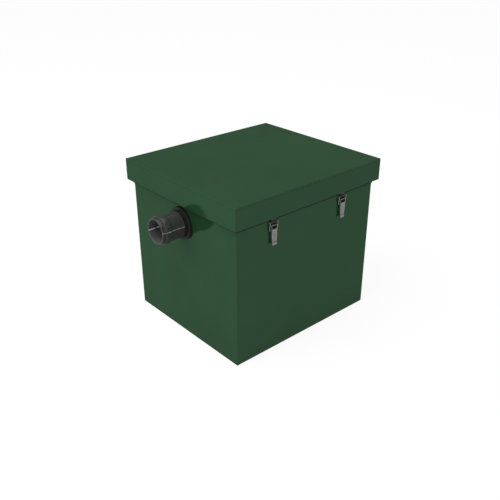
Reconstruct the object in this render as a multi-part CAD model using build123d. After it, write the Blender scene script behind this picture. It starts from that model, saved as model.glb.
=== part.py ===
from build123d import *
import os
from math import atan2, hypot, degrees

# Under-sink grease trap of welded plastic sheet, with a box lid held by four toggle latches.
# Millimetres. +Z is up, the origin is the middle of the base's underside.
# The inlet wall faces -X, the outlet wall faces +X, the front faces -Y.

os.makedirs("parts", exist_ok=True)

# Tank
tank_length = 400.0
tank_width = 352.0
lid_underside = 318.0
wall_sheet = 5.0
base_sheet = 6.0

# Rim seal, a U-profile pushed over the top edge of the walls
seal_leg = 1.3
seal_top = 2.4
seal_depth = 8.6

# Lid
lid_height = 49.0
lid_overhang = 11.4
lid_sheet = 5.0
skirt_sheet = 5.0
frame_sheet = 5.0
frame_reach = 14.0

# Pipe fittings, sized for a 50 mm waste pipe
fit_clearance = 0.2
socket_bore_radius = 25.3
socket_wall = 3.4
socket_length = 67.0
socket_depth = 52.0
socket_stub = 14.0
shoulder_step = 1.9
lip_length = 8.0
lip_wall = 2.5
bead_length = 13.0
bead_slope = 2.4
bead_wall = 2.8
bead_rounding = 0.7
groove_behind_lip = 8.4
groove_width = 3.2
groove_depth = 2.9
mouth_chamfer = 0.6
ring_bevel_height = 0.6
ring_bevel_width = 0.4

# Rubber collar that seals a socket in its wall
collar_sleeve = 1.1
collar_sleeve_length = 12.5
collar_flange = 7.1
collar_rim = 6.0
collar_rounding = 0.8
collar_neck = 3.4
collar_back_flange = 6.0
collar_back_rim = 3.0
collar_below_seal = 2.4

outlet_below_inlet = 20.0

# Pieces inside the tank
dip_wall = 2.8
elbow_bend = 42.0
elbow_lead = 5.0
elbow_drop = 119.0
outlet_dip_gap = 56.0
outlet_dip_head = 46.0
outlet_dip_arm = 31.0
baffle_sheet = 4.0
inlet_chamber = 131.0
inlet_baffle_gap = 60.0
inlet_baffle_below_lid = 22.0
outlet_chamber = 115.0
weir_drop = 13.6

# Latch row along the front and back walls
latch_spacing = 204.0
latch_row_shift = -2.2

# Latch pivots
pin_below_lid = 20.0
pin_radius = 1.0
pin_head_radius = 1.7
pin_head_height = 0.7
pin_running_gap = 0.1
bail_pivot_below_pin = 10.0
bail_over_centre = 0.9
eye_gap = 0.25
lever_eye_rim = 0.9
bail_eye_rim = 0.75

# Latch base, pressed plate with two ears bent up at the sides of its window
plate_length = 22.0
plate_sheet = 0.9
plate_above_pin = 0.6
plate_corner = 1.5
window_below_pin = 1.4
window_height = 8.0
ear_sheet = 0.9
ear_foot_above_pin = 0.4
ear_foot_below_pin = 4.4

# Latch lever, pressed channel that narrows towards a turned-out tip
lever_sheet = 0.9
lever_side_gap = 0.9
lever_web_below_pin = 6.8
lever_top_width = 15.4
lever_foot_width = 13.0
lever_tip_width = 11.6
lever_taper_below_pin = 7.0
lever_length = 35.3
lever_flange_foot = 3.6
lever_tip_length = 6.7
lever_tip_out = 0.8
lever_pressing_radius = 0.7

# Keeper, bent strip under the lid's overhang
keeper_width = 12.0
keeper_sheet = 1.0
keeper_flange = 7.2
keeper_ledge = 3.9
keeper_ledge_below_lid = 12.3

# Wire bail
wire_radius = 1.0
bail_seat_gap = 0.3
bail_web_gap = 0.3
bail_pin_gap = 1.2
bail_bend = 2.2
bail_end_inside = 1.0

# Drawing aids: how far a cutter stands past the piece, and how near two points count as the same
cutter_reach = 5.0
same_place = 0.01

# Places in the tank and its fittings that follow from the sizes above
half_length = tank_length / 2
half_width = tank_width / 2
wall_top = lid_underside - seal_top
lid_top = lid_underside + lid_height
barrel_radius = socket_bore_radius + socket_wall
waterway_radius = socket_bore_radius - shoulder_step
groove_radius = socket_bore_radius + groove_depth
bead_out = socket_length - lip_length
bead_in = bead_out - bead_length
groove_out = bead_out - groove_behind_lip
groove_in = groove_out - groove_width
bead_radius = groove_radius + bead_wall
lip_radius = socket_bore_radius + lip_wall
collar_bore_radius = barrel_radius + fit_clearance
collar_radius = collar_bore_radius + collar_flange
collar_neck_radius = collar_bore_radius + collar_neck
inlet_height = lid_underside - seal_depth - collar_below_seal - collar_radius
outlet_height = inlet_height - outlet_below_inlet
dip_radius = waterway_radius + dip_wall

# Places in a latch, as distance out from the wall and height above the floor
pin_height = lid_underside - pin_below_lid
bail_pivot_height = pin_height - bail_pivot_below_pin
lever_pin_eye = pin_radius + pin_running_gap + lever_eye_rim
lever_bail_eye = wire_radius + pin_running_gap + bail_eye_rim
ear_radius = lever_pin_eye - eye_gap
pin_out = plate_sheet + eye_gap + lever_pin_eye
bail_pivot_out = pin_out - bail_over_centre
lever_web_out = pin_out + lever_pin_eye - fit_clearance / 2
lever_face_out = lever_web_out + lever_sheet
lever_bend_height = pin_height - lever_length
lever_middle_third = lever_tip_width / 6
lever_half = lever_top_width / 2
ear_outer_half = lever_half - lever_sheet - lever_side_gap
ear_inner_half = ear_outer_half - ear_sheet
pin_shank_half = lever_half + fit_clearance
pin_half = pin_shank_half + pin_head_height
lever_clear_height = pin_height + 2 * lever_pin_eye
keeper_out = seal_leg + fit_clearance
keeper_ledge_top = lid_underside - keeper_ledge_below_lid
crossbar_out = keeper_out + keeper_sheet + bail_web_gap + wire_radius
crossbar_height = keeper_ledge_top + bail_seat_gap + wire_radius


def slab(x0, x1, y0, y1, z0, z1):
    """Plain plate between two corners."""
    centre = ((x0 + x1) / 2, (y0 + y1) / 2, (z0 + z1) / 2)
    return Pos(*centre) * Box(abs(x1 - x0), abs(y1 - y0), abs(z1 - z0))


def rectangular_ring(out_x, out_y, in_x, in_y, z0, z1):
    """Flat rectangular ring, given its outer and inner half lengths."""
    return slab(-out_x, out_x, -out_y, out_y, z0, z1) - slab(-in_x, in_x, -in_y, in_y, z0, z1)


def side_profile(points):
    """Closed outline drawn as distance out from a front wall and height."""
    return Plane.YZ * Polygon(*[(-out, height) for out, height in points], align=None)


def side_disc(out, height, radius):
    """Disc in the plane of the side profile."""
    return Plane.YZ * Pos(-out, height) * Circle(radius)


def across(sketch, half):
    """A side profile given its thickness, the same to both sides."""
    return extrude(sketch, half, dir=(1, 0, 0), both=True)


def cross_rod(out, height, radius, half):
    """Round rod that lies along the wall."""
    return across(side_disc(out, height, radius), half)


def at_latch(shape, centre_x, side):
    """A latch piece moved from the middle of the front wall to its place; side -1 is the front."""
    turn = 0 if side < 0 else 180
    return Pos(centre_x, side * half_width, 0) * Rot(0, 0, turn) * shape


# Tank


def base_panel():
    """Bottom sheet, under all four walls."""
    return slab(-half_length, half_length, -half_width, half_width, 0, base_sheet)


def long_wall(side):
    """Front or back wall over the whole length."""
    return slab(-half_length, half_length, side * half_width, side * (half_width - wall_sheet),
                base_sheet, wall_top)


def end_wall(side, axis_height):
    """Wall between the long walls, bored for its pipe fitting."""
    reach = half_width - wall_sheet
    sheet = slab(side * half_length, side * (half_length - wall_sheet), -reach, reach, base_sheet, wall_top)
    hole = Cylinder(collar_neck_radius + fit_clearance, 2 * wall_sheet + cutter_reach)
    return sheet - Pos(side * half_length, 0, axis_height) * Rot(0, 90, 0) * hole


def rim_seal():
    """U-profile on the walls' top edge."""
    low = lid_underside - seal_depth
    block = rectangular_ring(half_length + seal_leg, half_width + seal_leg,
                             half_length - wall_sheet - seal_leg, half_width - wall_sheet - seal_leg,
                             low, lid_underside)
    walls = rectangular_ring(half_length, half_width, half_length - wall_sheet, half_width - wall_sheet,
                             low, wall_top)
    return block - walls


# Lid


def lid_panel():
    """Flat top of the lid."""
    x = half_length + lid_overhang
    y = half_width + lid_overhang
    return slab(-x, x, -y, y, lid_top - lid_sheet, lid_top)


def lid_long_skirt(side):
    """Front or back rim of the lid, over the whole length."""
    x = half_length + lid_overhang
    y = half_width + lid_overhang
    return slab(-x, x, side * y, side * (y - skirt_sheet), lid_underside, lid_top - lid_sheet)


def lid_end_skirt(side):
    """Rim of the lid over an end wall, between the long rims."""
    x = half_length + lid_overhang
    y = half_width + lid_overhang - skirt_sheet
    return slab(side * x, side * (x - skirt_sheet), -y, y, lid_underside, lid_top - lid_sheet)


def lid_frame():
    """Flat frame inside the skirt that presses on the rim seal."""
    grow = lid_overhang - skirt_sheet
    shrink = wall_sheet + frame_reach
    return rectangular_ring(half_length + grow, half_width + grow, half_length - shrink, half_width - shrink,
                            lid_underside, lid_underside + frame_sheet)


def keeper():
    """Bent strip: flange under the lid, web down past the seal, ledge for the bail's crossbar."""
    web = keeper_out + keeper_sheet
    ledge_low = keeper_ledge_top - keeper_sheet
    flange_low = lid_underside - keeper_sheet
    outline = side_profile([
        (keeper_out, lid_underside),
        (keeper_out, ledge_low),
        (keeper_out + keeper_ledge, ledge_low),
        (keeper_out + keeper_ledge, keeper_ledge_top),
        (web, keeper_ledge_top),
        (web, flange_low),
        (keeper_out + keeper_flange, flange_low),
        (keeper_out + keeper_flange, lid_underside),
    ])
    return across(outline, keeper_width / 2)


# Latches


def latch_base():
    """Pressed plate on the wall with its window and the two ears that carry the pin."""
    top = pin_height + plate_above_pin
    width = 2 * ear_outer_half
    blank = Plane.XZ * Pos(0, top - plate_length / 2) * RectangleRounded(width, plate_length, plate_corner)
    plate = extrude(blank, plate_sheet, dir=(0, -1, 0))
    window_top = pin_height - window_below_pin
    plate -= slab(-ear_inner_half, ear_inner_half, 0, -plate_sheet, window_top - window_height, window_top)
    ear_outline = side_profile([
        (plate_sheet, pin_height - ear_foot_below_pin),
        (plate_sheet, pin_height + ear_foot_above_pin),
        (pin_out, pin_height + ear_radius),
        (pin_out + ear_radius, pin_height),
    ])
    ear_outline += side_disc(pin_out, pin_height, ear_radius)
    ears = across(ear_outline, ear_outer_half) - across(ear_outline, ear_inner_half)
    return plate + ears - cross_rod(pin_out, pin_height, pin_radius + pin_running_gap / 2, width)


def latch_pin():
    """Headed pin through ears and lever."""
    shank = cross_rod(pin_out, pin_height, pin_radius, pin_shank_half)
    heads = cross_rod(pin_out, pin_height, pin_head_radius, pin_half)
    heads -= cross_rod(pin_out, pin_height, pin_head_radius, pin_shank_half)
    return shank + heads


def lever_front_outline(inset):
    """The lever seen from the front, narrowed on each side by the inset."""
    right = [
        (lever_half - inset, lever_clear_height),
        (lever_half - inset, pin_height - lever_taper_below_pin),
        (lever_foot_width / 2 - inset, lever_bend_height),
        (lever_tip_width / 2 - inset, lever_bend_height - lever_tip_length),
    ]
    left = [(-x, z) for x, z in reversed(right)]
    return Plane.XZ * Polygon(*(right + left), align=None)


def latch_lever():
    """Tapered channel with pin and bail eyes and a turned-out tip."""
    web_top = pin_height - lever_web_below_pin
    tip_height = lever_bend_height - lever_tip_length
    flange_low = lever_bend_height + lever_flange_foot
    outline = side_profile([
        (bail_pivot_out - lever_bail_eye, bail_pivot_height),
        (pin_out - lever_pin_eye, pin_height),
        (pin_out + lever_pin_eye, pin_height),
        (lever_face_out, web_top),
        (lever_face_out, lever_bend_height),
        (lever_face_out + lever_tip_out, tip_height),
        (lever_face_out + lever_tip_out - lever_sheet, tip_height),
        (lever_web_out, lever_bend_height),
        (lever_web_out - lever_flange_foot, flange_low),
        (bail_pivot_out - lever_bail_eye / 2, bail_pivot_height - lever_bail_eye),
    ])
    outline += side_disc(pin_out, pin_height, lever_pin_eye)
    outline += side_disc(bail_pivot_out, bail_pivot_height, lever_bail_eye)
    lever = across(outline, lever_half)
    lever &= extrude(lever_front_outline(0), lever_face_out + cutter_reach, dir=(0, -1, 0))
    face_edges = [edge for edge in lever.edges() if long_edge_of_face(edge)]
    lever = fillet(face_edges, lever_pressing_radius)
    lever -= extrude(lever_front_outline(lever_sheet), lever_web_out, dir=(0, -1, 0))
    inner_half = lever_half - lever_sheet
    lever -= slab(-inner_half, inner_half, 0, -lever_face_out - cutter_reach, web_top, lever_clear_height)
    lever -= cross_rod(pin_out, pin_height, pin_radius + pin_running_gap, lever_half)
    lever -= cross_rod(bail_pivot_out, bail_pivot_height, wire_radius + pin_running_gap, lever_half)
    return lever


def long_edge_of_face(edge):
    """Whether an edge runs down one side of the lever's outer face."""
    middle = edge @ 0.5
    if middle.Z > pin_height - lever_web_below_pin or abs(middle.X) < lever_middle_third:
        return False
    below_bend = max(0, lever_bend_height - middle.Z)
    face = lever_face_out + lever_tip_out * below_bend / lever_tip_length
    return abs(middle.Y + face) < pin_running_gap


def latch_bail():
    """Wire loop from the lever's lower eyes to the crossbar on the keeper's ledge."""
    rise = crossbar_height - bail_pivot_height
    lean = crossbar_out - bail_pivot_out
    half = pin_half + bail_pin_gap + wire_radius
    end = lever_half - lever_sheet - bail_end_inside
    length = hypot(rise, lean)
    corners = [(end, 0), (half, 0), (half, length), (-half, length), (-half, 0), (-end, 0)]
    path = FilletPolyline(*[(x, 0, z) for x, z in corners], radius=bail_bend)
    wire = sweep(Plane(origin=path @ 0, z_dir=path % 0) * Circle(wire_radius), path=path)
    return Pos(0, -bail_pivot_out, bail_pivot_height) * Rot(degrees(atan2(lean, rise)), 0, 0) * wire


# Pipe fittings, drawn along +Z from the wall's outer face


def turned(points, rounding, rounded):
    """Solid of revolution from an outline of (radius, height), with the listed corners rounded."""
    outline = Polygon(*points, align=None)
    corners = []
    for v in outline.vertices():
        if any(hypot(v.X - r, v.Y - z) < same_place for r, z in rounded):
            corners.append(v)
    if corners:
        outline = fillet(corners, rounding)
    return revolve(Plane.XZ * outline, Axis.Z)


def socket():
    """Push-fit socket: stub through the wall, barrel, seal bead and lip."""
    inner_end = -wall_sheet - socket_stub
    shoulder = socket_length - socket_depth
    bead_corners = [(bead_radius, bead_in), (bead_radius, bead_out)]
    outside = [
        (waterway_radius, inner_end),
        (barrel_radius, inner_end),
        (barrel_radius, bead_in - bead_slope),
        *bead_corners,
        (lip_radius, bead_out),
        (lip_radius, socket_length - mouth_chamfer),
        (lip_radius - mouth_chamfer, socket_length),
        (socket_bore_radius + mouth_chamfer, socket_length),
        (socket_bore_radius, socket_length - mouth_chamfer),
    ]
    inside = [
        (socket_bore_radius, groove_out),
        (groove_radius, groove_out),
        (groove_radius, groove_in),
        (socket_bore_radius, groove_in),
        (socket_bore_radius, shoulder),
        (waterway_radius, shoulder),
    ]
    return turned(outside + inside, bead_rounding, bead_corners)


def socket_ring():
    """Rubber ring that fills the bead's groove and wipes the pipe."""
    low = groove_in + fit_clearance / 2
    high = groove_out - fit_clearance / 2
    outer = groove_radius - fit_clearance
    shoulder = socket_bore_radius + ring_bevel_height
    outline = [
        (socket_bore_radius, low + ring_bevel_width),
        (shoulder, low),
        (outer, low),
        (outer, high),
        (shoulder, high),
        (socket_bore_radius, high - ring_bevel_width),
    ]
    return turned(outline, 0, [])


def collar():
    """Rubber collar: sleeve on the barrel, flange outside, neck in the wall's hole and flange inside."""
    sleeve = collar_bore_radius + collar_sleeve
    back_radius = collar_bore_radius + collar_back_flange
    back = -wall_sheet - collar_back_rim
    outline = [
        (collar_bore_radius, back),
        (back_radius, back),
        (back_radius, -wall_sheet),
        (collar_neck_radius, -wall_sheet),
        (collar_neck_radius, 0),
        (collar_radius, 0),
        (collar_radius, collar_rim),
        (sleeve, collar_rim),
        (sleeve, collar_sleeve_length),
        (collar_bore_radius, collar_sleeve_length),
    ]
    return turned(outline, collar_rounding, [(collar_radius, collar_rim), (back_radius, back)])


def on_end(shape, side, axis_height):
    """A fitting moved to its end wall; side -1 is the inlet."""
    return Pos(side * half_length, 0, axis_height) * Rot(0, side * 90, 0) * shape


# Pieces inside the tank


def inlet_elbow():
    """Bend that turns the inflow down into the first chamber."""
    start = -half_length + wall_sheet + socket_stub
    turn = start + elbow_lead + elbow_bend
    foot = inlet_height - elbow_drop
    corners = [(start, 0, inlet_height), (turn, 0, inlet_height), (turn, 0, foot)]
    path = FilletPolyline(*corners, radius=elbow_bend)
    ring = Circle(dip_radius) - Circle(waterway_radius)
    return sweep(Plane(origin=(start, 0, inlet_height), z_dir=(1, 0, 0)) * ring, path=path)


def dip_tee(radius):
    """Upright pipe and the arm that joins it to the outlet's stub, as solid rods."""
    start = half_length - wall_sheet - socket_stub
    stem = start - outlet_dip_arm
    low = base_sheet + outlet_dip_gap
    high = outlet_height + outlet_dip_head
    leg = Pos(stem, 0, (low + high) / 2) * Cylinder(radius, high - low)
    arm = Pos((stem + start) / 2, 0, outlet_height) * Rot(0, 90, 0) * Cylinder(radius, start - stem)
    return leg + arm


def outlet_dip():
    """Tee whose long leg draws from near the floor and whose top is open."""
    return dip_tee(dip_radius) - dip_tee(waterway_radius)


def baffle(x, low, high):
    """Cross sheet between the long walls."""
    reach = half_width - wall_sheet
    return slab(x - baffle_sheet / 2, x + baffle_sheet / 2, -reach, reach, low, high)


def inlet_baffle():
    """Hanging sheet that keeps the grease in the middle chamber and lets water pass under it."""
    x = -half_length + wall_sheet + inlet_chamber + baffle_sheet / 2
    return baffle(x, base_sheet + inlet_baffle_gap, lid_underside - inlet_baffle_below_lid)


def outlet_baffle():
    """Standing sheet that the cleaned water runs over, lower than the outlet's waterway."""
    x = half_length - wall_sheet - outlet_chamber - baffle_sheet / 2
    return baffle(x, base_sheet, outlet_height - waterway_radius - weir_drop)


def latch_places():
    """Name, place along the wall and side of each latch."""
    places = []
    for side_name, side in (("front", -1), ("back", 1)):
        for end_name, end in (("inlet", -1), ("outlet", 1)):
            centre = latch_row_shift + end * latch_spacing / 2
            places.append((side_name + "_" + end_name, centre, side))
    return places


def all_nodes():
    """Every node's name and solid."""
    nodes = {
        "base_panel": base_panel(),
        "front_wall": long_wall(-1),
        "back_wall": long_wall(1),
        "inlet_wall": end_wall(-1, inlet_height),
        "outlet_wall": end_wall(1, outlet_height),
        "rim_seal": rim_seal(),
        "lid_panel": lid_panel(),
        "lid_skirt_front": lid_long_skirt(-1),
        "lid_skirt_back": lid_long_skirt(1),
        "lid_skirt_inlet": lid_end_skirt(-1),
        "lid_skirt_outlet": lid_end_skirt(1),
        "lid_frame": lid_frame(),
        "inlet_elbow": inlet_elbow(),
        "inlet_baffle": inlet_baffle(),
        "outlet_baffle": outlet_baffle(),
        "outlet_dip": outlet_dip(),
    }
    for name, side, height in (("inlet", -1, inlet_height), ("outlet", 1, outlet_height)):
        nodes[name + "_collar"] = on_end(collar(), side, height)
        nodes[name + "_socket"] = on_end(socket(), side, height)
        nodes[name + "_ring"] = on_end(socket_ring(), side, height)
    pieces = {
        "keeper": keeper(),
        "latch_base": latch_base(),
        "latch_pin": latch_pin(),
        "latch_lever": latch_lever(),
        "latch_bail": latch_bail(),
    }
    for place, centre, side in latch_places():
        for piece, shape in pieces.items():
            nodes[piece + "_" + place] = at_latch(shape, centre, side)
    return nodes


for node, shape in all_nodes().items():
    export_step(shape, "parts/" + node + ".step")
    print(node, round(shape.volume, 1))
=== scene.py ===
"""Looks of the under-sink grease trap: finishes, painted shade and highlights, welds, rivets, mould seams,
lever ribs, light and camera.
"""

import logging
import math
from dataclasses import dataclass, field
from enum import Enum
from typing import Dict, List, Optional, Sequence, Tuple, Union

import bmesh
import bpy
from mathutils import Matrix, Vector


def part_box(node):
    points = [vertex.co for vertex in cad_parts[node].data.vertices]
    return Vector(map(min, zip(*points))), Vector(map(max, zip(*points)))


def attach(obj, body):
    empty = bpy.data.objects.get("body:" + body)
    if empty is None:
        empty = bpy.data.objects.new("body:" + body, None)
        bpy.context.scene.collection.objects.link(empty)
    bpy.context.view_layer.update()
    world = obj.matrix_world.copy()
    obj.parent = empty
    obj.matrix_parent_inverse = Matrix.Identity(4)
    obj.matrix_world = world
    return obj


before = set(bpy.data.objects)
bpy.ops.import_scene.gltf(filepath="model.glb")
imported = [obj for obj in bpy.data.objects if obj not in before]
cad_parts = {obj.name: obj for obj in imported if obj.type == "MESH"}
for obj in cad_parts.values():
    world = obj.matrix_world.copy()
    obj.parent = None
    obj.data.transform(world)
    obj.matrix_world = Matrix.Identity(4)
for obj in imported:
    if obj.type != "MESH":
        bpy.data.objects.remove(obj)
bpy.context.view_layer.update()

LOG = logging.getLogger("grease_trap")
MM = 0.001
TOUCHING = 0.001 * MM
TANK = "tank"

Colour = Tuple[float, float, float]
Point = Tuple[float, float, float]
Corner = Tuple[float, float]
Mesh = bmesh.types.BMesh
Value = Union[float, "Link"]
Tint = Union[Colour, "Link"]

WHITE: Colour = (1.0, 1.0, 1.0)


class Slot(Enum):
    """The record's material slots, passed along with the added pieces."""

    GREEN_SHEET = "green_sheet"
    INNER_SHEET = "inner_sheet"
    PRESSED_STEEL = "pressed_steel"
    GREY_PIPE = "grey_pipe"
    DARK_STEEL = "dark_steel"


class End(Enum):
    """The two ends of the tank, with the direction in which their sockets point."""

    INLET = -1
    OUTLET = 1

    @property
    def word(self) -> str:
        """The end's name as the nodes have it."""
        return self.name.lower()


class Side(Enum):
    """The two long sides of the tank, with the direction in which they face."""

    FRONT = -1
    BACK = 1

    @property
    def word(self) -> str:
        """The side's name as the nodes have it."""
        return self.name.lower()


@dataclass(frozen=True)
class Pattern:
    """Fractal noise, with the two values between which its mask rises from 0 to 1."""

    scale: float
    detail: float = 2.0
    roughness: float = 0.5
    low: float = 0.0
    high: float = 1.0


@dataclass(frozen=True)
class Wear:
    """Rubbed edges: their reach in metres, and the edge mask's values where wear starts and is full."""

    reach: float
    low: float
    high: float


@dataclass(frozen=True)
class Relief:
    """Depth in metres of a surface's fine relief, and the share of it that shows."""

    depth: float
    share: float


class Link:
    """One output of a node, whose arithmetic adds Math nodes."""

    def __init__(self, graph: "Graph", socket: Optional[bpy.types.NodeSocket]) -> None:
        """Wrap a socket.

        Args:
            graph: the node graph that the socket is in.
            socket: the output socket, or None for the closing node of a tree.
        """
        self.graph = graph
        self.socket = socket

    def _math(self, operation: str, first: Value, second: Value) -> "Link":
        """Add one Math node.

        Args:
            operation: the node's operation.
            first: its first value.
            second: its second value.

        Returns:
            The node's output.
        """
        return self.graph.node("ShaderNodeMath", {"operation": operation}, {0: first, 1: second})

    def __add__(self, other: Value) -> "Link":
        """Sum of this and another value."""
        return self._math("ADD", self, other)

    def __radd__(self, other: Value) -> "Link":
        """Sum of another value and this."""
        return self._math("ADD", other, self)

    def __sub__(self, other: Value) -> "Link":
        """This less another value."""
        return self._math("SUBTRACT", self, other)

    def __rsub__(self, other: Value) -> "Link":
        """Another value less this."""
        return self._math("SUBTRACT", other, self)

    def __mul__(self, other: Value) -> "Link":
        """Product of this and another value."""
        return self._math("MULTIPLY", self, other)

    def __rmul__(self, other: Value) -> "Link":
        """Product of another value and this."""
        return self._math("MULTIPLY", other, self)

    def larger(self, other: Value) -> "Link":
        """The larger of this and another value."""
        return self._math("MAXIMUM", self, other)


class Graph:
    """The node tree of one material or world, with the one method that makes its nodes."""

    MIX_FACTOR, MIX_A, MIX_B, MIX_OUT = 0, 6, 7, 2
    EDGE_SAMPLES = 6

    def __init__(self, owner: Union[bpy.types.Material, bpy.types.World]) -> None:
        """Empty the owner's node tree and open it.

        Args:
            owner: the material or world.
        """
        owner.use_nodes = True
        self.tree = owner.node_tree
        self.tree.nodes.clear()

    def node(
        self,
        kind: str,
        settings: Optional[Dict[str, object]] = None,
        inputs: Optional[Dict[Union[str, int], object]] = None,
        output: Union[str, int] = 0,
    ) -> Link:
        """Add a node.

        Args:
            kind: the node's type.
            settings: its own properties, set first.
            inputs: values or links for its sockets, by name or number.
            output: which of its outputs to give back.

        Returns:
            The chosen output.
        """
        made = self.tree.nodes.new(kind)
        for name, value in (settings or {}).items():
            setattr(made, name, value)
        for name, value in (inputs or {}).items():
            if isinstance(value, Link):
                self.tree.links.new(value.socket, made.inputs[name])
            else:
                made.inputs[name].default_value = value
        return Link(self, made.outputs[output] if made.outputs else None)

    def place(self, stretch: Point = (1.0, 1.0, 1.0), turn: Point = (0.0, 0.0, 0.0)) -> Link:
        """The object's own coordinates, stretched and turned.

        Args:
            stretch: factor along each axis.
            turn: angle about each axis.

        Returns:
            A vector in metres times the stretch.
        """
        own = self.node("ShaderNodeTexCoord", output="Object")
        return self.node("ShaderNodeMapping", {}, {"Vector": own, "Scale": stretch, "Rotation": turn})

    def noise(self, vector: Link, pattern: Pattern) -> Link:
        """Fractal noise between about 0 and 1.

        Args:
            vector: where it is read.
            pattern: the noise's sizes.

        Returns:
            The noise's value.
        """
        sizes = {"Scale": pattern.scale, "Detail": pattern.detail, "Roughness": pattern.roughness}
        return self.node("ShaderNodeTexNoise", {}, {"Vector": vector, **sizes})

    def mask(self, vector: Link, pattern: Pattern, to: float = 1.0) -> Link:
        """Soft patches where a noise is high.

        Args:
            vector: where the noise is read.
            pattern: its sizes and the values between which the mask rises.
            to: the mask's height.

        Returns:
            The mask.
        """
        return self.step(self.noise(vector, pattern), pattern.low, pattern.high, to)

    def step(self, value: Link, low: float, high: float, to: float = 1.0) -> Link:
        """A soft step from 0 to the given height.

        Args:
            value: what is compared.
            low: where the step starts; above high it runs the other way.
            high: where it ends.
            to: its height.

        Returns:
            The step.
        """
        inputs = {"Value": value, "From Min": low, "From Max": high, "To Min": 0.0, "To Max": to}
        return self.node("ShaderNodeMapRange", {"interpolation_type": "SMOOTHSTEP"}, inputs)

    def tint(self, factor: Value, first: Tint, second: Tint) -> Link:
        """A colour between two others.

        Args:
            factor: 0 for the first, 1 for the second.
            first: a colour or a link.
            second: a colour or a link.

        Returns:
            The mixed colour.
        """
        inputs = {self.MIX_FACTOR: factor, self.MIX_A: rgba(first), self.MIX_B: rgba(second)}
        return self.node("ShaderNodeMix", {"data_type": "RGBA"}, inputs, self.MIX_OUT)

    def rubbed(self, wear: Wear) -> Link:
        """Mask of the corners and edges that hands and tools wear.

        Args:
            wear: reach of the mask and the values between which it rises.

        Returns:
            0 on flat stretches, up to 1 at a square edge.
        """
        rounded = self.node("ShaderNodeBevel", {"samples": self.EDGE_SAMPLES}, {"Radius": wear.reach})
        flat = self.node("ShaderNodeNewGeometry", output="True Normal")
        inputs = {0: rounded, 1: flat}
        same = self.node("ShaderNodeVectorMath", {"operation": "DOT_PRODUCT"}, inputs, "Value")
        return self.step(1.0 - same, wear.low, wear.high)

    def bump(self, height: Link, relief: Relief) -> Link:
        """A normal bent by a height pattern.

        Args:
            height: the pattern, about 0 to 1.
            relief: its depth and share.

        Returns:
            The bent normal.
        """
        inputs = {"Height": height, "Distance": relief.depth, "Strength": relief.share}
        return self.node("ShaderNodeBump", {}, inputs)


def rgba(colour: Tint) -> Union[Tuple[float, ...], Link]:
    """A colour with its alpha, or a link as it is."""
    return colour if isinstance(colour, Link) else (*colour, 1.0)


def shaded(colour: Colour, factor: float) -> Colour:
    """A colour made darker or lighter by a factor, 1 at most in each part."""
    red, green, blue = (min(1.0, factor * part) for part in colour)
    return red, green, blue


@dataclass(frozen=True)
class Finish:
    """What all finishes share: a name, a colour as linear light, and how sharply it reflects."""

    name: str
    colour: Colour
    roughness: float

    def dress(self, graph: Graph) -> Dict[str, object]:
        """Nodes of this finish.

        Args:
            graph: the material's node graph.

        Returns:
            Values for the shader's sockets.
        """
        raise NotImplementedError

    def material(self) -> bpy.types.Material:
        """The material, made once and shared.

        Returns:
            The material.
        """
        known = bpy.data.materials.get(self.name)
        if known:
            return known
        made = bpy.data.materials.new(self.name)
        graph = Graph(made)
        graph.node("ShaderNodeOutputMaterial", {}, {"Surface": self.surface(graph)})
        return made

    def surface(self, graph: Graph) -> Link:
        """The shader with this finish's nodes behind it."""
        return graph.node("ShaderNodeBsdfPrincipled", {}, self.dress(graph))


@dataclass(frozen=True)
class Skinned(Finish):
    """A finish whose thin glossy skin mirrors the same share of the surroundings from every side."""

    mirror: float
    mirror_tint: Colour

    def surface(self, graph: Graph) -> Link:
        """The matt body under its mirroring skin.

        Args:
            graph: the material's node graph.

        Returns:
            The mixed shader.
        """
        sockets = self.dress(graph)
        body = graph.node("ShaderNodeBsdfPrincipled", {}, {**sockets, "Specular IOR Level": 0.0})
        gloss = {"Base Color": rgba(self.mirror_tint), "Metallic": 1.0}
        skin = graph.node("ShaderNodeBsdfPrincipled", {}, {**sockets, **gloss})
        return graph.node("ShaderNodeMixShader", {}, {0: self.mirror, 1: body, 2: skin})


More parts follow.
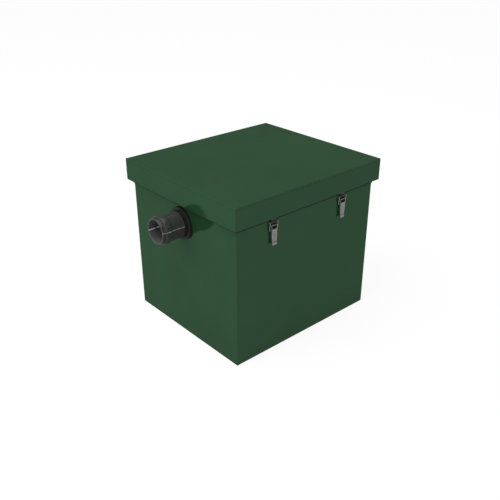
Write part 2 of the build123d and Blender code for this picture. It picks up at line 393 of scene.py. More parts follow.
@dataclass(frozen=True)
class SheetPlastic(Skinned):
    """Extruded plastic sheet with a glossy skin, faint streaks and pale edges that are partly scuffs and
    partly painted highlight.
    """

    CLOUD = Pattern(scale=7.0, detail=3.0, roughness=0.55, low=0.3, high=0.7)
    CLOUD_DARK = 0.92
    CLOUD_LIGHT = 1.08
    GRAIN = Pattern(scale=1400.0, detail=1.0)
    STREAKS = Pattern(scale=1.0, detail=3.0, roughness=0.6)
    STREAK_STRETCH = (3.0, 3.0, 260.0)
    BROKEN = Pattern(scale=160.0, detail=3.0, roughness=0.6, low=0.46, high=0.66)
    SMUDGE = Pattern(scale=16.0, detail=4.0, roughness=0.6, low=0.42, high=0.75)
    HAIR = Pattern(scale=1.0, detail=1.0, low=0.74, high=0.78)
    HANDLED = Pattern(scale=11.0, low=0.52, high=0.68)
    # Stretch and turn of the scratches' two directions.
    FLAT_HAIR = ((9.0, 9.0, 900.0), (0.5, 0.2, 0.0))
    STEEP_HAIR = ((700.0, 12.0, 12.0), (0.0, 0.4, 0.9))
    WEAR = Wear(reach=1.6 * MM, low=0.05, high=0.22)
    RELIEF = Relief(depth=0.02 * MM, share=0.35)
    LEAST_WORN = 0.25
    SCRATCH_PALE, WORN_PALE = 0.10, 0.45
    SMUDGE_DULL, SCRATCH_DULL, WORN_DULL = 0.07, 0.18, 0.25
    GRAIN_RISE, STREAK_RISE, SCRATCH_DEPTH = 0.5, 0.5, 0.8

    scuff: Colour

    def dress(self, graph: Graph) -> Dict[str, object]:
        """Cloudy pigment, die streaks, handling scratches and worn edges painted pale, partly as painted
        highlight.

        Args:
            graph: the material's node graph.

        Returns:
            Values for the shader's sockets.
        """
        at = graph.place()
        grain = graph.noise(at, self.GRAIN)
        streaks = graph.noise(graph.place(self.STREAK_STRETCH), self.STREAKS)
        scratches = self._scratches(graph)
        broken = self.LEAST_WORN + (1.0 - self.LEAST_WORN) * graph.mask(at, self.BROKEN)
        worn_and_highlit_edge = graph.rubbed(self.WEAR) * broken
        dark, light = shaded(self.colour, self.CLOUD_DARK), shaded(self.colour, self.CLOUD_LIGHT)
        body = graph.tint(graph.mask(at, self.CLOUD), dark, light)
        body = graph.tint(self.SCRATCH_PALE * scratches, body, self.scuff)
        # Pale worn edges: partly scuffing, partly painted highlight along the sheet's edges.
        body = graph.tint(self.WORN_PALE * worn_and_highlit_edge, body, self.scuff)
        smudge = graph.mask(at, self.SMUDGE, self.SMUDGE_DULL)
        relief = self.GRAIN_RISE * grain + self.STREAK_RISE * streaks - self.SCRATCH_DEPTH * scratches
        return {
            "Base Color": body,
            "Roughness": self.roughness + smudge + self.SCRATCH_DULL * scratches + self.WORN_DULL * worn_and_highlit_edge,
            "Normal": graph.bump(relief, self.RELIEF),
        }

    def _scratches(self, graph: Graph) -> Link:
        """Rare fine scratches in two directions.

        Args:
            graph: the material's node graph.

        Returns:
            1 in a scratch, 0 beside it.
        """
        across = graph.noise(graph.place(*self.FLAT_HAIR), self.HAIR)
        along = graph.noise(graph.place(*self.STEEP_HAIR), self.HAIR)
        where = graph.mask(graph.place(), self.HANDLED)
        return where * graph.step(across.larger(along), self.HAIR.low, self.HAIR.high)


@dataclass(frozen=True)
class MouldedPlastic(Skinned):
    """Injection-moulded pipe plastic with flow clouds, a fine skin and pale polished edges, partly painted
    highlight.
    """

    FLOW = Pattern(scale=14.0, detail=3.0, roughness=0.6, low=0.3, high=0.7)
    FLOW_STRETCH = (1.0, 5.0, 5.0)
    FLOW_DARK = 0.86
    SKIN = Pattern(scale=2600.0)
    PATCHY = Pattern(scale=210.0, detail=3.0, roughness=0.6, low=0.42, high=0.62)
    WEAR = Wear(reach=0.8 * MM, low=0.06, high=0.25)
    RELIEF = Relief(depth=0.02 * MM, share=0.4)
    LEAST_RUBBED = 0.4
    DULL_FROM, DULL_TO, FLOW_DULL = 0.35, 0.75, 0.05
    RUBBED_POLISH, RUBBED_DULL = 0.45, 0.10

    polish_highlight: Colour

    def dress(self, graph: Graph) -> Dict[str, object]:
        """Flow clouds, fine skin and rubbed edges painted pale, partly as painted highlight.

        Args:
            graph: the material's node graph.

        Returns:
            Values for the shader's sockets.
        """
        at = graph.place()
        flow = graph.noise(graph.place(self.FLOW_STRETCH), self.FLOW)
        clouds = graph.step(flow, self.FLOW.low, self.FLOW.high)
        rubbed = graph.rubbed(self.WEAR)
        patchy = self.LEAST_RUBBED + (1.0 - self.LEAST_RUBBED) * graph.mask(at, self.PATCHY)
        body = graph.tint(clouds, shaded(self.colour, self.FLOW_DARK), self.colour)
        # Pale rubbed edges: partly polish from handling, partly painted highlight.
        body = graph.tint(self.RUBBED_POLISH * rubbed * patchy, body, self.polish_highlight)
        dull = graph.step(flow, self.DULL_FROM, self.DULL_TO, self.FLOW_DULL)
        return {
            "Base Color": body,
            "Roughness": self.roughness + dull + self.RUBBED_DULL * rubbed,
            "Normal": graph.bump(graph.noise(at, self.SKIN), self.RELIEF),
        }


@dataclass(frozen=True)
class BoredPlastic(MouldedPlastic):
    """Moulded plastic whose bore is painted paler: painted light that offsets the shade inside the bore."""

    FADE_OUTSIDE, FADE_INSIDE = 0.5 * MM, 0.2 * MM

    bore_painted_light_colour: Colour
    bore_radius: float
    axis_height: float

    def dress(self, graph: Graph) -> Dict[str, object]:
        """The moulded skin, with another colour nearer to the lying axis than the bore's wall.

        Args:
            graph: the material's node graph.

        Returns:
            Values for the shader's sockets.
        """
        sockets = super().dress(graph)
        own = graph.node("ShaderNodeTexCoord", output="Object")
        shift = {"Location": (0.0, 0.0, -self.axis_height), "Scale": (0.0, 1.0, 1.0)}
        across = graph.node("ShaderNodeMapping", {}, {"Vector": own, **shift})
        reach = graph.node("ShaderNodeVectorMath", {"operation": "LENGTH"}, {0: across}, "Value")
        inside = graph.step(reach, self.bore_radius + self.FADE_OUTSIDE, self.bore_radius + self.FADE_INSIDE)
        # The bore's paler colour is painted light that stands in for the light the bore's shade keeps out.
        return {**sockets, "Base Color": graph.tint(inside, sockets["Base Color"], self.bore_painted_light_colour)}


@dataclass(frozen=True)
class RolledSteel(Finish):
    """Strip with its rolling grain, pressed to shape, under a film that leaves part of it dull."""

    LINES = Pattern(scale=1.0, detail=3.0, roughness=0.65)
    STAIN = Pattern(scale=190.0, detail=3.0, roughness=0.55, low=0.45, high=0.72)
    WEAR = Wear(reach=0.35 * MM, low=0.05, high=0.2)
    RELIEF = Relief(depth=0.012 * MM, share=0.5)
    RUBBED_LIGHT = 1.35
    STAIN_SHARE, RUBBED_SHARE = 0.55, 0.7
    LINES_DULL, STAIN_DULL, RUBBED_GLOSS = 0.16, 0.12, 0.08

    grain: Point
    tarnish: Colour
    metal: float

    def dress(self, graph: Graph) -> Dict[str, object]:
        """Fine grain in one direction, faint tarnish and bright edges.

        Args:
            graph: the material's node graph.

        Returns:
            Values for the shader's sockets.
        """
        lines = graph.noise(graph.place(self.grain), self.LINES)
        stain = graph.mask(graph.place(), self.STAIN)
        rubbed = graph.rubbed(self.WEAR)
        dull = self.LINES_DULL * lines + self.STAIN_DULL * stain
        body = graph.tint(self.STAIN_SHARE * stain, self.colour, self.tarnish)
        body = graph.tint(self.RUBBED_SHARE * rubbed, body, shaded(self.colour, self.RUBBED_LIGHT))
        return {
            "Base Color": body,
            "Metallic": self.metal,
            "Roughness": self.roughness + dull - self.RUBBED_GLOSS * rubbed,
            "Normal": graph.bump(lines, self.RELIEF),
        }


@dataclass(frozen=True)
class ShadeBandSteel(RolledSteel):
    """Strip or wire darkened with painted shade over one band of heights, where shade falls at rest."""

    PAINTED_SHADE_FADE = 0.4 * MM
    PAINTED_SHADE_DULL = 0.2

    painted_shade: Colour
    painted_shade_from: float
    painted_shade_to: float

    def dress(self, graph: Graph) -> Dict[str, object]:
        """The rolled steel, darkened with painted shade and dulled within the band.

        Args:
            graph: the material's node graph.

        Returns:
            Values for the shader's sockets.
        """
        sockets = super().dress(graph)
        height = graph.node("ShaderNodeSeparateXYZ", {}, {"Vector": graph.place()}, "Z")
        above = graph.step(height, self.painted_shade_from - self.PAINTED_SHADE_FADE, self.painted_shade_from)
        below = graph.step(height, self.painted_shade_to + self.PAINTED_SHADE_FADE, self.painted_shade_to)
        in_painted_shade = above * below
        # The band's darker colour is painted shade.
        return {
            **sockets,
            "Base Color": graph.tint(in_painted_shade, sockets["Base Color"], self.painted_shade),
            "Roughness": sockets["Roughness"] + self.PAINTED_SHADE_DULL * in_painted_shade,
        }


@dataclass(frozen=True)
class DarkRubber(Skinned):
    """Extruded or moulded rubber with a dusty bloom."""

    DUST = Pattern(scale=60.0, detail=4.0, roughness=0.6, low=0.4, high=0.75)
    SKIN = Pattern(scale=1800.0)
    RELIEF = Relief(depth=0.04 * MM, share=0.6)
    DUST_SHARE, DUST_DULL = 0.5, 0.1

    bloom: Colour

    def dress(self, graph: Graph) -> Dict[str, object]:
        """Dusty bloom over a fine matt skin.

        Args:
            graph: the material's node graph.

        Returns:
            Values for the shader's sockets.
        """
        at = graph.place()
        dust = graph.mask(at, self.DUST)
        return {
            "Base Color": graph.tint(self.DUST_SHARE * dust, self.colour, self.bloom),
            "Roughness": self.roughness + self.DUST_DULL * dust,
            "Normal": graph.bump(graph.noise(at, self.SKIN), self.RELIEF),
        }


GREEN_SKIN = {"mirror_tint": (0.55, 1.0, 0.66), "scuff": (0.075, 0.150, 0.095)}
GREEN = SheetPlastic(
    "green_sheet_skin", (0.0130, 0.0470, 0.0188), roughness=0.10, mirror=0.037, **GREEN_SKIN
)
GREEN_INSIDE = SheetPlastic(
    "green_sheet_inside", (0.0124, 0.0450, 0.0180), roughness=0.24, mirror=0.032, **GREEN_SKIN
)
WELD_ROD = SheetPlastic(
    "green_weld_rod", (0.0138, 0.0500, 0.0200), roughness=0.18, mirror=0.037, **GREEN_SKIN
)
PIPE_SKIN = {"mirror_tint": WHITE, "polish_highlight": (0.100, 0.100, 0.100)}
PIPE = MouldedPlastic(
    "grey_pipe_plastic", (0.0655, 0.0655, 0.0640), roughness=0.05, mirror=0.040, **PIPE_SKIN
)
PIPE_INSIDE = MouldedPlastic(
    "dull_inner_pipe", (0.0500, 0.0495, 0.0485), roughness=0.42, mirror=0.020, **PIPE_SKIN
)
# Mould-seam ridges whose pale colour is a painted highlight: the thin bright reflection lines along the
# socket, outside and in the bore.
SEAM_SKIN = {"roughness": 0.30, "mirror": 0.030, "mirror_tint": WHITE}
SEAM_PAINTED_HIGHLIGHT = MouldedPlastic("grey_pipe_seam_painted_highlight", (0.52, 0.52, 0.52), polish_highlight=(0.50, 0.50, 0.50), **SEAM_SKIN)
BORE_SEAM_PAINTED_HIGHLIGHT = MouldedPlastic("bore_seam_painted_highlight", (0.80, 0.80, 0.80), polish_highlight=(0.80, 0.80, 0.80), **SEAM_SKIN)
FLAT_GRAIN = (420.0, 420.0, 30.0)
ROUND_GRAIN = (300.0, 300.0, 300.0)
PRESSED = RolledSteel(
    "pressed_stainless", (0.208, 0.208, 0.203), roughness=0.26, grain=FLAT_GRAIN,
    tarnish=(0.145, 0.143, 0.138), metal=0.72,
)
# The lever's dark band from 262.0 to 263.9 mm is painted shade along the crease where its tip turns out.
LEVER = ShadeBandSteel(
    "lever_stainless", (0.226, 0.229, 0.221), roughness=0.26, grain=FLAT_GRAIN,
    tarnish=(0.150, 0.150, 0.144), metal=0.72,
    painted_shade=(0.105, 0.108, 0.104), painted_shade_from=262.0 * MM, painted_shade_to=263.9 * MM,
)
# The bail's dark band from 306.2 to 310.0 mm is painted shade on its crossbar under the lid's overhang.
DRAWN = ShadeBandSteel(
    "drawn_stainless_wire", (0.225, 0.230, 0.225), roughness=0.22, grain=ROUND_GRAIN,
    tarnish=(0.165, 0.165, 0.160), metal=0.8,
    painted_shade=(0.075, 0.078, 0.074), painted_shade_from=306.2 * MM, painted_shade_to=310.0 * MM,
)
DULL = RolledSteel(
    "dull_zinc_strip", (0.050, 0.052, 0.049), roughness=0.45, grain=FLAT_GRAIN,
    tarnish=(0.042, 0.043, 0.041), metal=0.35,
)
SEAL = DarkRubber(
    "rim_seal_rubber", (0.0260, 0.0240, 0.0215), roughness=0.55, mirror=0.012, mirror_tint=WHITE,
    bloom=(0.045, 0.042, 0.038),
)
# Rubber ring inside the bore, coloured paler than its rubber as painted light against the bore's shade, with
# a dusty bloom on top.
BORE_RING_PAINTED_LIGHT = DarkRubber(
    "bore_ring_rubber_painted_light", (0.0800, 0.0790, 0.0780), roughness=0.45, mirror=0.024, mirror_tint=WHITE,
    bloom=(0.110, 0.108, 0.104),
)
RING = DarkRubber(
    "socket_ring_rubber", (0.0175, 0.0175, 0.0168), roughness=0.30, mirror=0.024, mirror_tint=WHITE,
    bloom=(0.026, 0.026, 0.025),
)


@dataclass
class Workshop:
    """Turns finished mesh code into pieces that ride on their bodies, and reports them."""

    flat_angle: float = math.radians(0.2)
    sharp_angle: float = math.radians(50.0)
    edge_facets: int = 2
    made: List[str] = field(default_factory=list)

    def piece(
        self,
        name: str,
        shape: Mesh,
        slot: Slot,
        finish: Finish,
        smooth: float,
        body: str = TANK,
    ) -> None:
        """Make a piece of the object.

        Args:
            name: the piece's name.
            shape: its mesh, in metres, in place.
            slot: the record's slot for the piece; not used.
            finish: its finish.
            smooth: edges that turn by less than this angle shade smoothly.
            body: the body that it rides on.
        """
        bmesh.ops.recalc_face_normals(shape, faces=shape.faces)
        for face in shape.faces:
            face.smooth = True
        for edge in shape.edges:
            edge.smooth = edge.calc_face_angle(math.pi) < smooth
        mesh = bpy.data.meshes.new(name)
        shape.to_mesh(mesh)
        shape.free()
        mesh.materials.append(finish.material())
        made = bpy.data.objects.new(name, mesh)
        bpy.context.scene.collection.objects.link(made)
        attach(made, body)
        self.made.append(name)
        LOG.info("piece %s: %d faces, %s", name, len(mesh.polygons), finish.name)

    @staticmethod
    def dress_node(node: str, finish: Finish) -> None:
        """Give a node of the fixed frame its finish.

        Args:
            node: the node's name.
            finish: its finish.
        """
        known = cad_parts[node]
        known.data.materials.clear()
        known.data.materials.append(finish.material())
        LOG.info("node %s: %s", node, finish.name)

    def dress_sheet(self, node: str, finish: Finish, width: float) -> None:
        """Give a sheet its finish and break its sharp edges, as a scraper does after sawing.

        Args:
            node: the node's name.
            finish: its finish.
            width: width of the broken edge, in metres.
        """
        self.dress_node(node, finish)
        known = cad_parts[node]
        weld = known.modifiers.new("close_seams", "WELD")
        weld.merge_threshold = TOUCHING
        flat = known.modifiers.new("plain_faces", "DECIMATE")
        flat.decimate_type = "DISSOLVE"
        flat.angle_limit = self.flat_angle
        edge = known.modifiers.new("broken_edges", "BEVEL")
        edge.width = width
        edge.segments = self.edge_facets
        edge.limit_method = "ANGLE"
        edge.angle_limit = self.sharp_angle
        edge.harden_normals = True


def spun(outline: Sequence[Corner], steps: int) -> Mesh:
    """Turn an outline all the way round the vertical axis.

    Args:
        outline: distance from the axis and height of each point.
        steps: facets round the turn.

    Returns:
        The turned shape.
    """
    shape = bmesh.new()
    points = [shape.verts.new((radius, 0.0, height)) for radius, height in outline]
    parts = points + [shape.edges.new(pair) for pair in zip(points, points[1:])]
    axis = {"cent": (0, 0, 0), "axis": (0, 0, 1), "angle": 2 * math.pi}
    bmesh.ops.spin(shape, geom=parts, steps=steps, use_merge=True, **axis)
    bmesh.ops.remove_doubles(shape, verts=shape.verts, dist=TOUCHING)
    return shape


def moved(shape: Mesh, matrix: Matrix) -> Mesh:
    """A shape after a move, for use in one line."""
    bmesh.ops.transform(shape, matrix=matrix, verts=shape.verts)
    return shape


def joined(shapes: Sequence[Mesh]) -> Mesh:
    """Several shapes as one.

    Args:
        shapes: the shapes, which are used up.

    Returns:
        One shape that holds them all.
    """
    whole = bmesh.new()
    for shape in shapes:
        carrier = bpy.data.meshes.new("carrier")
        shape.to_mesh(carrier)
        shape.free()
        whole.from_mesh(carrier)
        bpy.data.meshes.remove(carrier)
    return whole


@dataclass
class WeldBead:
    """A hand-laid bead of welding rod, with the ripples of its laying."""

    radius: float = 2.6 * MM
    ripple: float = 0.07
    end_size: float = 0.55
    pitch: float = 2.4 * MM
    fewest_rings: int = 4
    facets: int = 10

    def straight(self, start: Point, end: Point) -> Mesh:
        """A bead from one point to another.

        Args:
            start: one end of its middle line.
            end: the other end.

        Returns:
            The bead, closed at both ends.
        """
        line = Vector(end) - Vector(start)
        steps = max(self.fewest_rings, 2 * int(line.length / self.pitch))
        turn = line.to_track_quat("Z", "Y").to_matrix().to_4x4()
        return moved(self._rod(steps, line.length), Matrix.Translation(start) @ turn)

    def _rod(self, steps: int, length: float) -> Mesh:
        """A rippled rod along +Z with tapered ends.

        Args:
            steps: rings along it.
            length: its length.

        Returns:
            The closed rod.
        """
        shape = bmesh.new()
        round_face = {"cap_ends": True, "segments": self.facets, "radius": self.radius}
        ring = bmesh.ops.create_circle(shape, **round_face)["verts"]
        self._swell(shape, ring, self.end_size)
        face = shape.faces[:]
        for step in range(1, steps + 1):
            grown = bmesh.ops.extrude_face_region(shape, geom=face)["geom"]
            face = [part for part in grown if isinstance(part, bmesh.types.BMFace)]
            ring = [part for part in grown if isinstance(part, bmesh.types.BMVert)]
            bmesh.ops.translate(shape, verts=ring, vec=(0, 0, length / steps))
            last = step == steps
            wave = 1 + self.ripple if step % 2 else 1 - self.ripple
            self._swell(shape, ring, self._size_change(step, wave, last))
        doubled = [inner for inner in shape.faces if len(inner.verts) == self.facets]
        hidden = [inner for inner in doubled if all(len(edge.link_faces) > 2 for edge in inner.edges)]
        bmesh.ops.delete(shape, geom=hidden, context="FACES_ONLY")
        return shape

    def _size_change(self, step: int, wave: float, last: bool) -> float:
        """How a ring differs from the one before it.

        Args:
            step: the ring's number.
            wave: its own size.
            last: whether it closes the bead.

        Returns:
            The factor from the ring before.
        """
        before = 1 - self.ripple if step % 2 else 1 + self.ripple
        return (self.end_size if last else wave) / (self.end_size if step == 1 else before)

    @staticmethod
    def _swell(shape: Mesh, ring: Sequence[bmesh.types.BMVert], factor: float) -> None:
        """Scale one ring about the rod's axis."""
        bmesh.ops.scale(shape, verts=list(ring), vec=(factor, factor, 1.0))


@dataclass
class Rivet:
    """Blind rivet with a domed head and the dimple of its pulled stem."""

    # Corners of the dimple, as shares of its radius and of the head's height.
    CROWN = ((0.0, 0.45), (0.8, 0.45), (1.0, 0.92))
    # Degrees from the head's axis to the points of its dome.
    DOME = (15.0, 35.0, 55.0, 75.0)

    radius: float
    height: float
    dimple: float
    rim_share: float = 0.12
    sunk: float = 0.1 * MM
    steps: int = 28

    def shape(self, seat: Point, outward: Point) -> Mesh:
        """The head on its seat.

        Args:
            seat: where the middle of the head sits.
            outward: direction away from the seat.

        Returns:
            The closed head.
        """
        crown = [(self.dimple * across, self.height * up) for across, up in self.CROWN]
        leans = [math.radians(angle) for angle in self.DOME]
        dome = [(self.radius * math.sin(lean), self.height * math.cos(lean)) for lean in leans]
        dome = [corner for corner in dome if corner[0] > self.dimple]
        rim = [(self.radius, self.rim_share * self.height), (self.radius, -self.sunk), (0.0, -self.sunk)]
        head = spun(crown + dome + rim, self.steps)
        turn = Vector(outward).to_track_quat("Z", "Y").to_matrix().to_4x4()
        return moved(head, Matrix.Translation(seat) @ turn)


@dataclass
class Tank:
    """The welded tank: panels, inner pieces and the beads in its corners."""

    workshop: Workshop
    broken_edge: float = 0.35 * MM
    bead: WeldBead = field(default_factory=WeldBead)
    bead_smooth: float = math.radians(60)

    def build(self) -> None:
        """Dress the panels and lay the welds."""
        for node in ("base_panel", "front_wall", "back_wall", "inlet_wall", "outlet_wall"):
            self.workshop.dress_sheet(node, GREEN, self.broken_edge)
        for node in ("inlet_baffle", "outlet_baffle"):
            self.workshop.dress_sheet(node, GREEN_INSIDE, self.broken_edge)
        for node in ("inlet_elbow", "outlet_dip"):
            self.workshop.dress_node(node, PIPE_INSIDE)
        self.workshop.dress_node("rim_seal", SEAL)
        self._corner_welds()
        self._baffle_welds()

    def _inside(self) -> Tuple[Vector, Vector]:
        """The room inside the walls, below the seal.

        Returns:
            Its lowest and its highest corner.
        """
        low = Vector((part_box("inlet_wall")[1].x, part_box("front_wall")[1].y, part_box("base_panel")[1].z))
        high = Vector((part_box("outlet_wall")[0].x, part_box("back_wall")[0].y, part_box("rim_seal")[0].z))
        return low, high

    def _corner_welds(self) -> None:
        """Beads down the inner corners and round the base."""
        low, high = self._inside()
        rise = self.bead.radius
        beads = []
        for x in (low.x, high.x):
            for y in (low.y, high.y):
                beads.append(self.bead.straight((x, y, low.z + rise), (x, y, high.z - rise)))
            beads.append(self.bead.straight((x, low.y, low.z), (x, high.y, low.z)))
        for y in (low.y, high.y):
            beads.append(self.bead.straight((low.x, y, low.z), (high.x, y, low.z)))
        self.workshop.piece("tank_corner_welds", joined(beads), Slot.GREEN_SHEET, WELD_ROD, self.bead_smooth)

    def _baffle_welds(self) -> None:
        """Beads where the cross sheets meet the long walls."""
        low, high = self._inside()
        beads = []
        for node in ("inlet_baffle", "outlet_baffle"):
            bottom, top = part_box(node)
            for x in (bottom.x, top.x):
                for y in (low.y, high.y):
                    start = max(bottom.z, low.z + self.bead.radius)
                    beads.append(self.bead.straight((x, y, start), (x, y, top.z)))
        self.workshop.piece("baffle_welds", joined(beads), Slot.INNER_SHEET, WELD_ROD, self.bead_smooth)


@dataclass
class Lid:
    """The box lid: top panel, skirts and inner frame."""

    workshop: Workshop
    broken_edge: float = 0.5 * MM

    def build(self) -> None:
        """Dress the lid's sheets."""
        sheets = ["lid_panel", "lid_skirt_inlet", "lid_skirt_outlet"]
        sheets += ["lid_skirt_" + side.word for side in Side]
        for node in sheets:
            self.workshop.dress_sheet(node, GREEN, self.broken_edge)
        self.workshop.dress_sheet("lid_frame", GREEN_INSIDE, self.broken_edge)


@dataclass
class PipeFitting:
    """One push-fit socket with its rubber collar, rubber ring and the seams of its mould, painted pale as
    highlight lines.
    """

    workshop: Workshop
    end: End
    seam_height: float = 0.12 * MM
    seam_width: float = 1.25 * MM
    bore_seam_width: float = 2.6 * MM
    seam_sunk: float = 0.3 * MM
    # The leans set where the painted highlight lines lie round the socket.
    seam_lean: float = math.radians(9.5)
    bore_seam_lean: float = math.radians(11.5)
    seam_gap: float = 0.5 * MM
    groove_edge: float = 0.3 * MM
    seam_smooth: float = math.radians(40)
    # Paler colour of the bore: painted light against the shade inside it.
    bore_painted_light_colour: Colour = (0.1120, 0.1090, 0.1100)
    band_digits: int = 5

    def build(self) -> None:
        """Dress the fitting's nodes, then add its seams."""
        word = self.end.word
        self.workshop.dress_node(word + "_socket", self._socket_finish())
        self.workshop.dress_node(word + "_collar", RING)
        self.workshop.dress_node(word + "_ring", BORE_RING_PAINTED_LIGHT)
        self._mould_seams()

    def _axis(self) -> Matrix:
        """Place of the fitting.

        Returns:
            Its frame: +Z out of the wall, +Y up, the origin on the wall's face.
        """
        low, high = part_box(self.end.word + "_collar")
        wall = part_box(self.end.word + "_wall")
        face = wall[0].x if self.end is End.INLET else wall[1].x
        out, up = Vector((self.end.value, 0.0, 0.0)), Vector((0.0, 0.0, 1.0))
        turn = Matrix((up.cross(out), up, out)).transposed().to_4x4()
        return Matrix.Translation((face, 0.0, (low.z + high.z) / 2)) @ turn

    def _out(self, corner: Vector) -> float:
        """Distance of a place out of the wall's face."""
        return (self._axis().inverted() @ corner).z

    def _span(self, node: str) -> Tuple[float, float]:
        """Nearest and farthest distance out of one of the fitting's nodes."""
        near, far = sorted(self._out(corner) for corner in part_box(self.end.word + "_" + node))
        return near, far

    def _bands(self) -> Dict[float, List[float]]:
        """Rings of points of the socket's own mesh.

        Returns:
            For each distance out of the wall, to 0.01 mm, the radii found there.
        """
        place = self._axis().inverted()
        bands: Dict[float, List[float]] = {}
        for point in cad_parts[self.end.word + "_socket"].data.vertices:
            local = place @ point.co
            band = bands.setdefault(round(local.z, self.band_digits), [])
            band.append(math.hypot(local.x, local.y))
        return bands

    def _bore(self) -> float:
        """Radius of the bore that takes the pipe, which the ring in its groove shares.

        Returns:
            The radius.
        """
        place = self._axis().inverted()
        ring = [place @ point.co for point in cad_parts[self.end.word + "_ring"].data.vertices]
        return min(math.hypot(point.x, point.y) for point in ring)

    def _socket_finish(self) -> BoredPlastic:
        """The socket's plastic.

        Returns:
            The outer pipe's finish with its bore painted paler, painted light against the bore's shade.
        """
        low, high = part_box(self.end.word + "_collar")
        name = self.end.word + "_socket_plastic"
        skin = (PIPE.colour, PIPE.roughness, PIPE.mirror, PIPE.mirror_tint, PIPE.polish_highlight)
        return BoredPlastic(name, *skin, self.bore_painted_light_colour, self._bore(), (low.z + high.z) / 2)

    def _outside(self) -> List[List[Corner]]:
        """Stretches of the socket's outer surface from the collar to the bead's end, and along the lip.

        Returns:
            For each stretch, radius and distance out of its corners.
        """
        bands = self._bands()
        nose, groove = self._span("collar")[1], self._span("ring")
        barrel = max(bands[min(bands)])
        corners = [(barrel, nose)]
        for out, radii in sorted(bands.items()):
            at_groove = groove[0] - self.groove_edge < out < groove[1] + self.groove_edge
            if out > nose and max(radii) > self._bore() + self.seam_sunk and not at_groove:
                corners.append((max(radii), out))
        bead_end = max(out for radius, out in corners if radius > barrel)
        body = [corner for corner in corners if corner[1] < bead_end - self.seam_gap]
        lip = [corner for corner in corners if corner[1] > bead_end + self.seam_gap]
        return [body, [(lip[0][0], bead_end + self.seam_gap)] + lip]

    def _inside(self) -> List[List[Corner]]:
        """Stretches of the bore behind and before the ring.

        Returns:
            For each stretch, radius and distance out of its two ends.
        """
        bands, bore = self._bands(), self._bore()
        near, far = self._span("ring")
        shoulder = min(out for out in bands if out > 0)
        # The mouth's chamfer starts at the farthest ring of points but one.
        mouth = sorted(bands)[-2]
        return [[(bore, shoulder), (bore, near)], [(bore, far), (bore, mouth)]]

    def _seam(self, outline: Sequence[Corner], inward: bool, angle: float) -> Mesh:
        """A fine ridge along an outline.

        Args:
            outline: radius and distance out of its foot.
            inward: whether it stands towards the axis.
            angle: where it lies round the axis.

        Returns:
            The ridge, in place.
        """
        way = -1.0 if inward else 1.0
        width = self.bore_seam_width if inward else self.seam_width
        shape = bmesh.new()
        foot = [shape.verts.new((r - way * self.seam_sunk, 0.0, out)) for r, out in outline]
        crest = [shape.verts.new((r + way * self.seam_height, 0.0, out)) for r, out in outline]
        for below, above in zip(zip(foot, foot[1:]), zip(crest, crest[1:])):
            shape.faces.new((below[0], below[1], above[1], above[0]))
        shape.normal_update()
        bmesh.ops.solidify(shape, geom=shape.faces[:], thickness=width)
        middle = sum(point.co.y for point in shape.verts) / len(shape.verts)
        bmesh.ops.translate(shape, verts=shape.verts, vec=(0.0, -middle, 0.0))
        return moved(shape, self._axis() @ Matrix.Rotation(angle, 4, "Z"))

    def _mould_seams(self) -> None:
        """Ridges where the mould's halves met, outside and inside, on both sides, painted pale as highlight
        lines.
        """
        outer, inner = [], []
        for half in (0.0, math.pi):
            outer += [self._seam(run, False, self.seam_lean + half) for run in self._outside()]
            inner += [self._seam(run, True, self.bore_seam_lean + half) for run in self._inside()]
        word = self.end.word
        self.workshop.piece(word + "_socket_seams", joined(outer), Slot.GREY_PIPE, SEAM_PAINTED_HIGHLIGHT, self.seam_smooth)
        self.workshop.piece(word + "_bore_seams", joined(inner), Slot.GREY_PIPE, BORE_SEAM_PAINTED_HIGHLIGHT, self.seam_smooth)


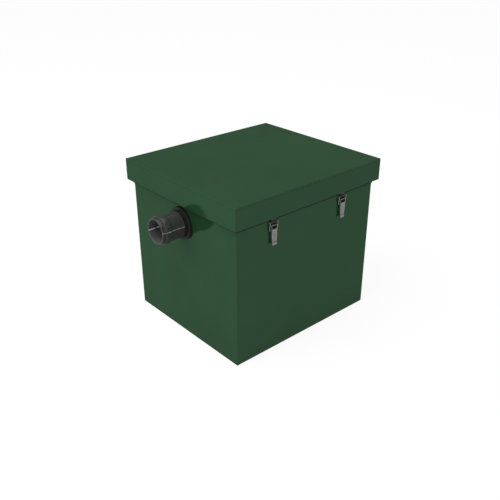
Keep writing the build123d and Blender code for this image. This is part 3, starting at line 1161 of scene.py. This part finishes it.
@dataclass
class Latch:
    """One toggle latch with its keeper, its rivets and the rib on its lever."""

    BASE_RIVET = Rivet(radius=2.1 * MM, height=0.9 * MM, dimple=0.75 * MM)
    KEEPER_RIVET = Rivet(radius=1.7 * MM, height=0.7 * MM, dimple=0.6 * MM)

    workshop: Workshop
    side: Side
    end: End
    plate: float = 0.9 * MM
    strip: float = 1.0 * MM
    rivet_inset: float = 3.1 * MM
    rivet_spacing: float = 5.8 * MM
    keeper_rivet_offset: float = 3.2 * MM
    keeper_margin: float = 0.4 * MM
    rivet_smooth: float = math.radians(50)
    lever_face: float = 5.95 * MM
    rib_below_pin: float = 12.0 * MM
    rib_length: float = 19.0 * MM
    rib_half_width: float = 0.9 * MM
    rib_height: float = 0.45 * MM
    rib_facets: int = 16
    rib_rings: int = 8
    rib_smooth: float = math.radians(60)

    @property
    def place(self) -> str:
        """The latch's place as the nodes name it."""
        return self.side.word + "_" + self.end.word

    def build(self) -> None:
        """Dress the latch's nodes, then add its rivets and rib."""
        for piece in ("latch_base", "latch_pin"):
            self.workshop.dress_node(piece + "_" + self.place, PRESSED)
        self.workshop.dress_node("latch_lever_" + self.place, LEVER)
        self.workshop.dress_node("keeper_" + self.place, DULL)
        self.workshop.dress_node("latch_bail_" + self.place, DRAWN)
        self._base_rivets()
        self._keeper_rivets()
        self._lever_rib()

    def _lever_rib(self) -> None:
        """A long, low stiffening rib pressed out of the lever's face."""
        low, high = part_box("latch_lever_" + self.place)
        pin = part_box("latch_pin_" + self.place)
        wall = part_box(self.side.word + "_wall")
        face = (wall[0].y if self.side is Side.FRONT else wall[1].y) + self.side.value * self.lever_face
        foot = (pin[0].z + pin[1].z) / 2 - self.rib_below_pin - self.rib_length
        shape = bmesh.new()
        bmesh.ops.create_uvsphere(shape, u_segments=self.rib_facets, v_segments=self.rib_rings, radius=1.0)
        flat = (self.rib_half_width, self.rib_height, self.rib_half_width)
        bmesh.ops.scale(shape, verts=shape.verts, vec=flat)
        upper = [point for point in shape.verts if point.co.z > -TOUCHING]
        bmesh.ops.translate(shape, verts=upper, vec=(0.0, 0.0, self.rib_length))
        bmesh.ops.translate(shape, verts=shape.verts, vec=((low.x + high.x) / 2, face, foot))
        name, body = "lever_rib_" + self.place, "lever_" + self.place
        self.workshop.piece(name, shape, Slot.PRESSED_STEEL, LEVER, self.rib_smooth, body)

    def _base_rivets(self) -> None:
        """Two heads on the plate below its window."""
        low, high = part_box("latch_base_" + self.place)
        wall = high.y if self.side is Side.FRONT else low.y
        seat = wall + self.side.value * self.plate
        middle = (low.x + high.x) / 2
        outward = (0.0, float(self.side.value), 0.0)
        heights = [low.z + self.rivet_inset, low.z + self.rivet_inset + self.rivet_spacing]
        heads = [self.BASE_RIVET.shape((middle, seat, z), outward) for z in heights]
        name = "latch_rivets_" + self.place
        self.workshop.piece(name, joined(heads), Slot.PRESSED_STEEL, PRESSED, self.rivet_smooth)

    def _keeper_rivets(self) -> None:
        """Two heads under the keeper's flange."""
        low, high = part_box("keeper_" + self.place)
        outer = low.y if self.side is Side.FRONT else high.y
        seat_y = outer - self.side.value * (self.KEEPER_RIVET.radius + self.keeper_margin)
        seat_z = high.z - self.strip
        middle, down = (low.x + high.x) / 2, (0.0, 0.0, -1.0)
        offsets = (-self.keeper_rivet_offset, self.keeper_rivet_offset)
        heads = [self.KEEPER_RIVET.shape((middle + x, seat_y, seat_z), down) for x in offsets]
        name = "keeper_rivets_" + self.place
        self.workshop.piece(name, joined(heads), Slot.DARK_STEEL, DULL, self.rivet_smooth)


@dataclass(frozen=True)
class Lamp:
    """A square soft lamp that looks at the middle of the tank and isn't mirrored in its gloss."""

    name: str
    place: Point
    size: float
    watts: float
    target: Point = (0.0, 0.0, 0.18)

    def build(self) -> None:
        """Hang the lamp."""
        data = bpy.data.lights.new(self.name, "AREA")
        data.shape = "SQUARE"
        data.size = self.size
        data.energy = self.watts
        lamp = bpy.data.objects.new(self.name, data)
        lamp.location = self.place
        toward = Vector(self.target) - Vector(self.place)
        lamp.rotation_euler = toward.to_track_quat("-Z", "Y").to_euler()
        lamp.visible_glossy = False
        bpy.context.scene.collection.objects.link(lamp)
        LOG.info("lamp %s: %.1f W", self.name, self.watts)


@dataclass
class Studio:
    """White room: floor, world, lamp and the camera at the photograph's angle."""

    camera_place: Point = (-0.9144, -1.0247, 0.8421)
    camera_aim: Point = (0.5894, 0.6671, -0.4557)
    lens: float = 46.81
    sensor: float = 36.0
    floor_reach: float = 40.0
    floor_colour: Colour = (0.80, 0.80, 0.80)
    floor_glow: float = 0.905
    floor_shade: Colour = (0.14, 0.14, 0.14)
    world_light: float = 0.50
    lamp: Lamp = Lamp("left_softbox", place=(-1.95, 0.585, 2.48), size=3.0, watts=67.0)

    def build(self) -> None:
        """Set up the whole studio."""
        self._camera()
        self._world()
        self._floor()
        self.lamp.build()
        bpy.context.scene.view_settings.view_transform = "Standard"

    def _camera(self) -> None:
        """Camera at the photograph's place."""
        data = bpy.data.cameras.new("photo_camera")
        data.lens = self.lens
        data.sensor_width = self.sensor
        camera = bpy.data.objects.new("photo_camera", data)
        camera.location = self.camera_place
        camera.rotation_euler = Vector(self.camera_aim).to_track_quat("-Z", "Y").to_euler()
        bpy.context.scene.collection.objects.link(camera)
        bpy.context.scene.camera = camera
        LOG.info("camera: %.2f mm lens", self.lens)

    @staticmethod
    def _seen_as_background(graph: Graph) -> Link:
        """Which rays see a surface as the picture's white background.

        Args:
            graph: the world's or the floor's node graph.

        Returns:
            1 for rays from the camera, from a mirror or through glass, 0 for light that falls on things.
        """
        kinds = ("Is Camera Ray", "Is Glossy Ray", "Is Transmission Ray")
        camera, mirror, glass = [graph.node("ShaderNodeLightPath", output=kind) for kind in kinds]
        return camera.larger(mirror).larger(glass)

    def _world(self) -> None:
        """White to look at, plain soft light on the object."""
        world = bpy.data.worlds.new("white_room")
        bpy.context.scene.world = world
        graph = Graph(world)
        seen = self._seen_as_background(graph)
        strength = self.world_light + (1.0 - self.world_light) * seen
        room = graph.node("ShaderNodeBackground", {}, {"Color": rgba(WHITE), "Strength": strength})
        graph.node("ShaderNodeOutputWorld", {}, {"Surface": room})

    def _floor(self) -> None:
        """Plain pale floor that looks white and keeps the object's shadow."""
        shape = bmesh.new()
        bmesh.ops.create_grid(shape, x_segments=1, y_segments=1, size=self.floor_reach)
        mesh = bpy.data.meshes.new("floor")
        shape.to_mesh(mesh)
        shape.free()
        material = bpy.data.materials.new("pale_floor")
        graph = Graph(material)
        plain = graph.node("ShaderNodeBsdfDiffuse", {}, {"Color": rgba(self.floor_colour)})
        shade = graph.node("ShaderNodeBsdfDiffuse", {}, {"Color": rgba(self.floor_shade)})
        glow = graph.node("ShaderNodeEmission", {}, {"Color": rgba(WHITE), "Strength": self.floor_glow})
        white = graph.node("ShaderNodeAddShader", {}, {0: glow, 1: shade})
        seen = self._seen_as_background(graph)
        surface = graph.node("ShaderNodeMixShader", {}, {0: seen, 1: plain, 2: white})
        graph.node("ShaderNodeOutputMaterial", {}, {"Surface": surface})
        mesh.materials.append(material)
        floor = bpy.data.objects.new("floor", mesh)
        bpy.context.scene.collection.objects.link(floor)


def main() -> None:
    """Build the grease trap's looks in order."""
    logging.basicConfig(level=logging.INFO, format="%(name)s %(message)s")
    workshop = Workshop()
    Tank(workshop).build()
    Lid(workshop).build()
    for end in End:
        PipeFitting(workshop, end).build()
    for side in Side:
        for end in End:
            Latch(workshop, side, end).build()
    Studio().build()
    LOG.info("%d new pieces", len(workshop.made))


if __name__ == "__main__":
    main()
